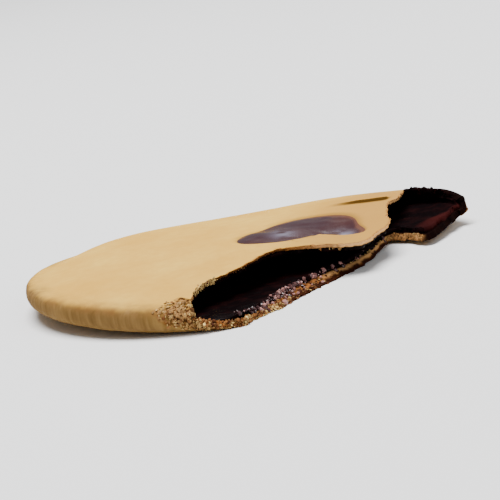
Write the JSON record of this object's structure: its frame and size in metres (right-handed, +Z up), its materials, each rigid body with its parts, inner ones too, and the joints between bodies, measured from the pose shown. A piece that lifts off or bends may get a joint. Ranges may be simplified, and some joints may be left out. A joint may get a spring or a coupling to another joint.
{
  "type": "brown sugar navel pastry, torn open",
  "caption": "Flat hollow round pastry torn open along one side, its thin baked crust lined with dark melted brown sugar that also fills the navel in its top.",
  "frame": {"origin": "middle of the underside of the pastry's bounding box", "axes": "+Z up, out of the top face; +X to the right, over the torn side; +Y away from the mouth of the tear"},
  "size_m": [0.1172, 0.1164, 0.0107],
  "materials": {
    "crust": "baked dry crust, matt, slightly browned at the rim",
    "sugar": "melted and set brown sugar, dark and glossy"
  },
  "bodies": {
    "root": {"crust": "crust", "brown_sugar": "sugar"}
  },
  "joints": []
}
